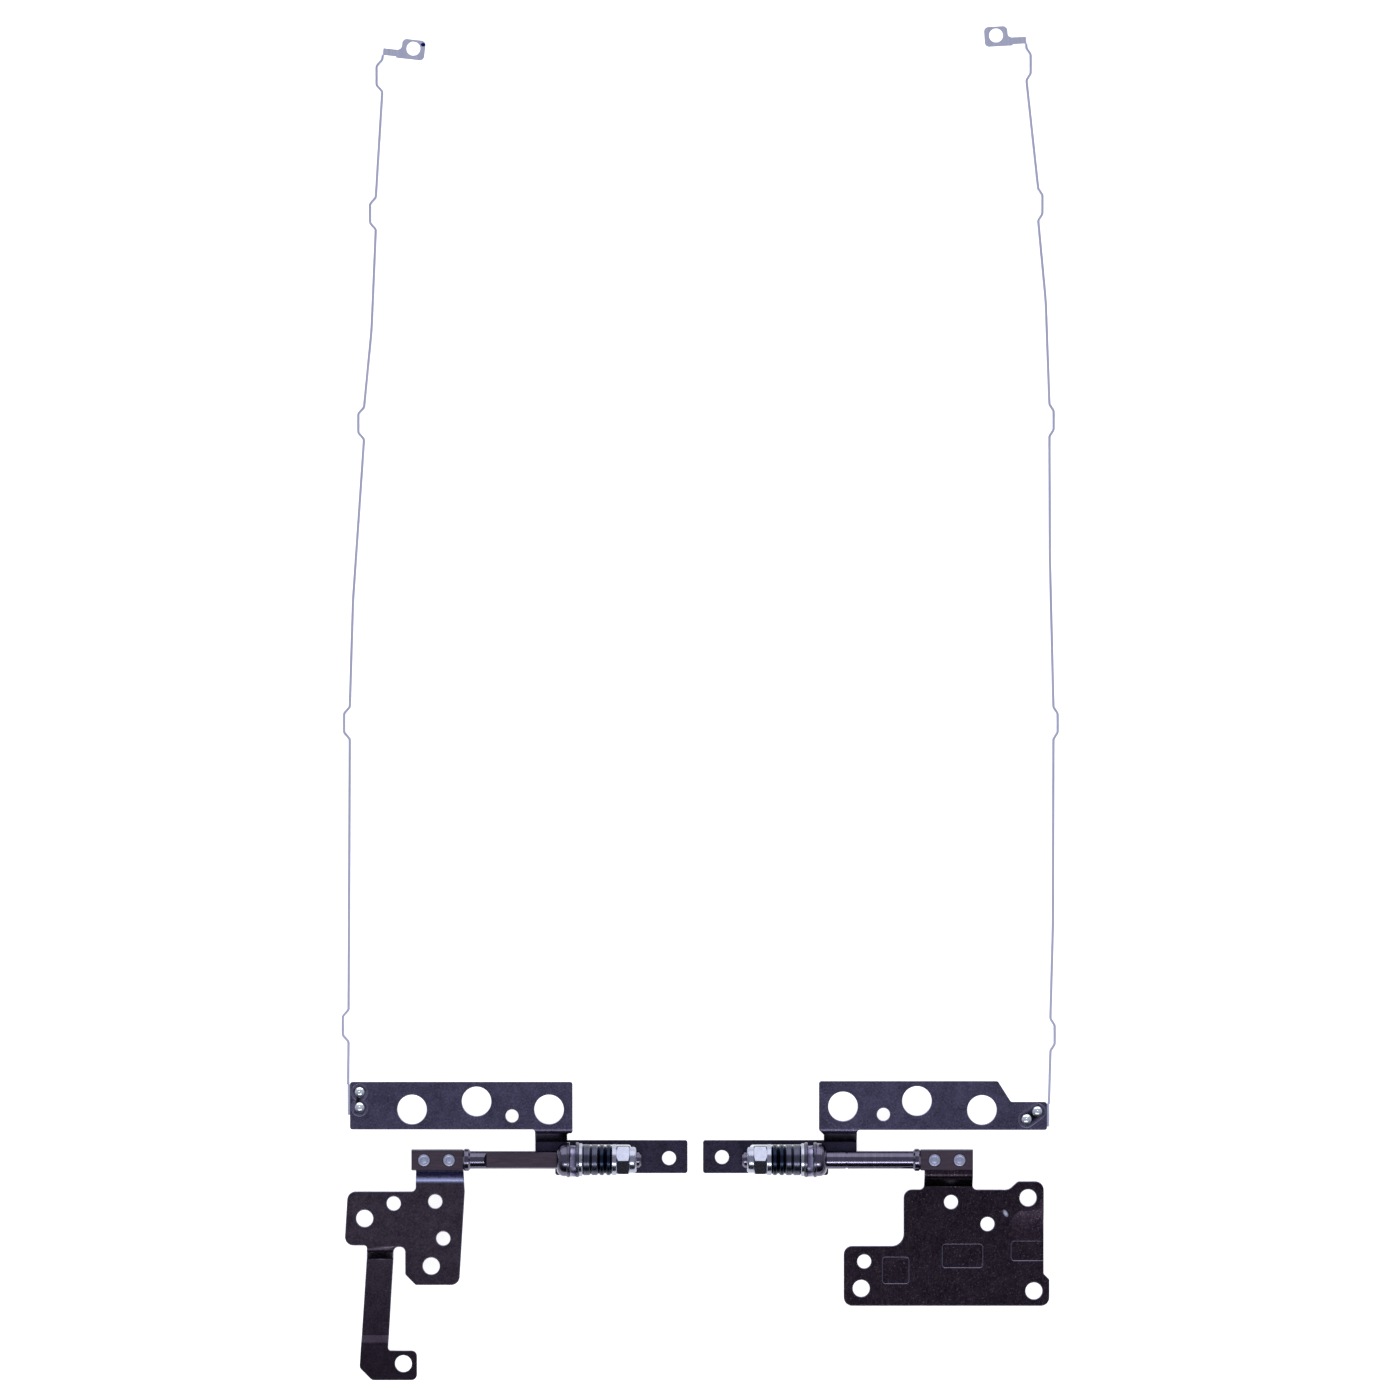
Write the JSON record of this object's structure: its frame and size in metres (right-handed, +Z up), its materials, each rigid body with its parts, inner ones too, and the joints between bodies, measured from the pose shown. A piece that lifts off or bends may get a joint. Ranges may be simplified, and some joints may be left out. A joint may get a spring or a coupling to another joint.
{
  "type": "laptop hinge pair",
  "caption": "Laptop screen hinge pair: stamped brackets, friction-washer barrels on turned shafts and long jogged screen rails; each display side turns on its own shaft.",
  "frame": {"origin": "on the table under the middle of the pair's overall box", "axes": "+X along the shafts towards the right hinge, +Y up the screen, +Z up off the table"},
  "size_m": [0.1437, 0.2709, 0.0086],
  "materials": {
    "dark_plated_bracket": "satin black-violet plating",
    "rail_steel": "bare rolled strip",
    "bright_rivet": "bright",
    "dull_rivet": "matte",
    "dark_nickel_shaft": "turned and plated",
    "friction_washer": "greased",
    "bright_nickel": "bright plating",
    "friction_disc": "sintered, oiled",
    "black_spring": "black oxide",
    "nylon": "moulded nylon"
  },
  "bodies": {
    "base": {"left_base_bracket": "dark_plated_bracket", "left_shaft": "dark_nickel_shaft", "left_shaft_rivets": "dull_rivet", "left_outer_friction_washer": "friction_washer", "left_inner_friction_washer": "friction_washer", "left_bright_washer": "bright_nickel", "left_wide_friction_disc": "friction_disc", "left_narrow_friction_disc": "friction_disc", "left_outer_spring_washer": "black_spring", "left_inner_spring_washer": "black_spring", "left_thrust_washer": "bright_nickel", "left_lock_nut": "bright_nickel", "left_nut_insert": "nylon", "right_base_bracket": "dark_plated_bracket", "right_shaft": "dark_nickel_shaft", "right_shaft_rivets": "dull_rivet", "right_outer_friction_washer": "friction_washer", "right_inner_friction_washer": "friction_washer", "right_bright_washer": "bright_nickel", "right_wide_friction_disc": "friction_disc", "right_narrow_friction_disc": "friction_disc", "right_outer_spring_washer": "black_spring", "right_inner_spring_washer": "black_spring", "right_thrust_washer": "bright_nickel", "right_lock_nut": "bright_nickel", "right_nut_insert": "nylon"},
    "left_lid": {"left_display_bracket": "dark_plated_bracket", "left_screen_rail": "rail_steel", "left_rail_rivets": "bright_rivet"},
    "right_lid": {"right_display_bracket": "dark_plated_bracket", "right_screen_rail": "rail_steel", "right_rail_rivets": "bright_rivet"}
  },
  "joints": [
    {"name": "left_hinge", "type": "hinge", "parent": "base", "child": "left_lid", "pos_m": [-0.0267, -0.09148, 0.0051], "axis": [1, 0, 0], "range_deg": [0, 180]},
    {"name": "right_hinge", "type": "hinge", "parent": "base", "child": "right_lid", "pos_m": [0.0232, -0.09148, 0.0051], "axis": [1, 0, 0], "range_deg": [0, 180]}
  ]
}
